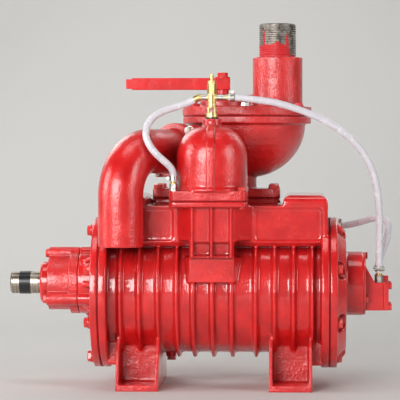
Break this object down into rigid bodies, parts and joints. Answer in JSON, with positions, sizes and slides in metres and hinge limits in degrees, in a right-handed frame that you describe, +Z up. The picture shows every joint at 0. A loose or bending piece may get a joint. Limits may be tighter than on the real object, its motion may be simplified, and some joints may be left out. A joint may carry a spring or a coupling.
{
  "type": "rotary vane vacuum pump",
  "caption": "Rotary sliding-vane vacuum pump with ribbed casing, feet, changeover valve with lever, exhaust elbow, check-valve dome, sight-feed oiler, oil pump and clear oil hoses.",
  "frame": {"origin": "centre of the four foot holes on the floor plane", "axes": "+X along the shaft from the drive stub to the oil pump, -Y the front with the dome, +Z up"},
  "size_m": [0.6605, 0.37, 0.6278],
  "materials": {
    "red_enamel": "gloss enamel over rough iron castings",
    "bare_steel": "turned and oiled",
    "zinc_plate": "bright zinc plate",
    "brass": "turned brass",
    "rubber": "matt black",
    "gasket": "pressed fibre sheet",
    "clear_hose": "clear flexible tube, milky with use",
    "sight_glass": "clear",
    "iron": "machined",
    "vane": "pressed fibre laminate"
  },
  "bodies": {
    "pump": {"rotor_casing": "red_enamel", "drain_plug": "rubber", "end_gaskets": "gasket", "drive_end_cover": "red_enamel", "drive_end_bolts": "red_enamel", "drive_bearing_cap": "red_enamel", "drive_cap_bolts": "red_enamel", "seal_plate": "red_enamel", "shaft_seal": "rubber", "oil_end_cover": "red_enamel", "oil_end_bolts": "red_enamel", "bearing_outer_rings": "bare_steel", "bearing_end_plate": "red_enamel", "oil_pump_body": "red_enamel", "oil_pump_cover": "red_enamel", "oil_pump_bolts": "red_enamel", "oil_pump_fittings": "zinc_plate", "tank_fitting": "zinc_plate", "front_port_gasket": "gasket", "ball_seat": "brass", "check_valve_dome": "red_enamel", "dome_bolts": "red_enamel", "dome_hose_fitting": "zinc_plate", "oiler_washer": "rubber", "oiler_body": "brass", "sight_glass": "sight_glass", "oiler_tails": "zinc_plate", "oiler_nuts": "brass", "feed_hose": "clear_hose", "suction_hose": "clear_hose", "drip_hose": "clear_hose", "hose_clamps": "zinc_plate", "rear_port_gasket": "gasket", "valve_body": "red_enamel", "valve_base_bolts": "red_enamel", "lid_gasket": "gasket", "valve_lid": "red_enamel", "lid_bolts": "zinc_plate", "inlet_nipple": "bare_steel", "elbow_gasket": "gasket", "exhaust_elbow": "red_enamel", "elbow_studs": "zinc_plate"},
    "rotor": {"rotor_shaft": "bare_steel", "rotor_drum": "iron", "bearing_inner_rings": "bare_steel", "bearing_balls": "bare_steel", "pump_drive_gear": "bare_steel"},
    "driven_gear": {"pump_driven_gear": "bare_steel"},
    "vane_1": {"vane_1": "vane"},
    "vane_2": {"vane_2": "vane"},
    "vane_3": {"vane_3": "vane"},
    "vane_4": {"vane_4": "vane"},
    "valve": {"valve_spindle": "bare_steel", "valve_shutter": "brass", "change_lever": "red_enamel", "lever_bolt": "red_enamel"},
    "needle": {"oiler_needle": "brass"},
    "ball": {"check_ball": "rubber"}
  },
  "joints": [
    {"name": "rotor_spin", "type": "hinge", "parent": "pump", "child": "rotor", "pos_m": [0, 0, 0.176], "axis": [1, 0, 0], "continuous": true},
    {"name": "driven_gear_spin", "type": "hinge", "parent": "pump", "child": "driven_gear", "pos_m": [0, 0, 0.159], "axis": [1, 0, 0], "continuous": true},
    {"name": "vane_1_slide", "type": "slide", "parent": "rotor", "child": "vane_1", "axis": [0, 0.7071, 0.7071], "range_m": [0, 0.0035]},
    {"name": "vane_2_slide", "type": "slide", "parent": "rotor", "child": "vane_2", "axis": [0, 0.7071, -0.7071], "range_m": [0, 0.0035]},
    {"name": "vane_3_slide", "type": "slide", "parent": "rotor", "child": "vane_3", "axis": [0, -0.7071, -0.7071], "range_m": [0, 0.0035]},
    {"name": "vane_4_slide", "type": "slide", "parent": "rotor", "child": "vane_4", "axis": [0, -0.7071, 0.7071], "range_m": [0, 0.0035]},
    {"name": "valve_turn", "type": "hinge", "parent": "pump", "child": "valve", "pos_m": [0.008, 0.088, 0.5], "axis": [0, 0, 1], "range_deg": [-90, 0]},
    {"name": "needle_turn", "type": "hinge", "parent": "pump", "child": "needle", "pos_m": [-0.004, -0.085, 0.5], "axis": [0, 0, 1], "range_deg": [-180, 180]},
    {"name": "ball_lift", "type": "slide", "parent": "pump", "child": "ball", "axis": [0, 0, 1], "range_m": [0, 0.028]}
  ],
  "couplings": [
    {"joint": "driven_gear_spin", "follows": "rotor_spin", "ratio": -1}
  ]
}
